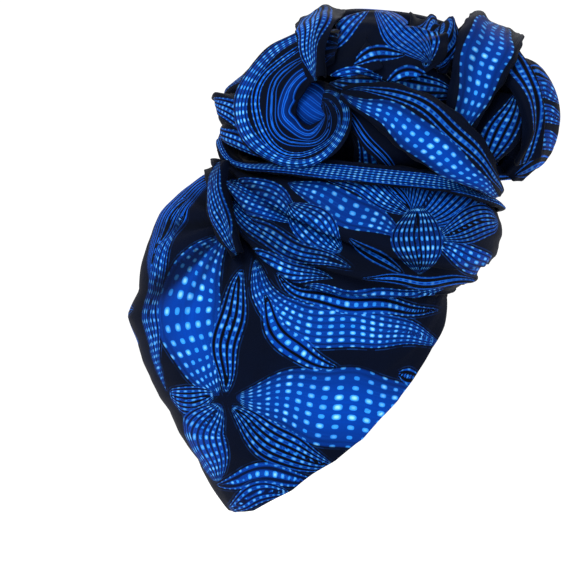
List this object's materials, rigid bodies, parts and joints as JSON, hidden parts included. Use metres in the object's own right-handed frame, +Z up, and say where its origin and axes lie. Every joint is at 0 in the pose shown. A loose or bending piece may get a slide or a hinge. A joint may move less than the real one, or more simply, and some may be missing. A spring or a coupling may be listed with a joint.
{
  "type": "head wrap",
  "caption": "African head wrap in printed cotton: a fitted cap to the nape, a wound band round the crown and a large folded rosette bun on top.",
  "frame": {"origin": "where the crown of the wearer's head meets the inside of the cap", "axes": "+X the way the wearer faces, +Y the wearer's left, +Z up"},
  "size_m": [0.2746, 0.1984, 0.3252],
  "materials": {
    "cap_print": "matt printed cotton",
    "wrap_print": "matt printed cotton",
    "fold_print": "matt printed cotton",
    "core_print": "matt printed cotton"
  },
  "bodies": {
    "root": {"back_lower_fold": "fold_print", "back_upper_fold": "fold_print", "black_wedge": "fold_print", "bun_core": "core_print", "cap": "cap_print", "centre_petal": "fold_print", "collar_fold": "fold_print", "dotted_wedge": "fold_print", "far_black_wedge": "fold_print", "far_centre_petal": "fold_print", "far_gather_roll": "wrap_print", "far_lower_ruffle": "fold_print", "far_middle_fold": "fold_print", "far_peak_fold": "fold_print", "far_pleated_fold": "fold_print", "far_right_lobe": "fold_print", "far_swirl_fold": "fold_print", "far_tall_fold": "fold_print", "far_upper_ruffle": "fold_print", "front_base_fold": "fold_print", "front_lower_fold": "fold_print", "front_upper_fold": "fold_print", "front_wrap": "wrap_print", "gather_roll": "wrap_print", "inner_fold": "fold_print", "lower_ruffle": "fold_print", "lower_wrap": "wrap_print", "middle_fold": "fold_print", "middle_wrap": "wrap_print", "peak_fold": "fold_print", "pleated_fold": "fold_print", "right_lobe": "fold_print", "right_ridge": "fold_print", "right_roll": "fold_print", "rolled_edge": "wrap_print", "swirl_fold": "fold_print", "swirl_heart": "fold_print", "tall_fold": "fold_print", "top_far_fold": "fold_print", "top_middle_fold": "fold_print", "top_near_fold": "fold_print", "upper_ruffle": "fold_print"}
  },
  "joints": []
}
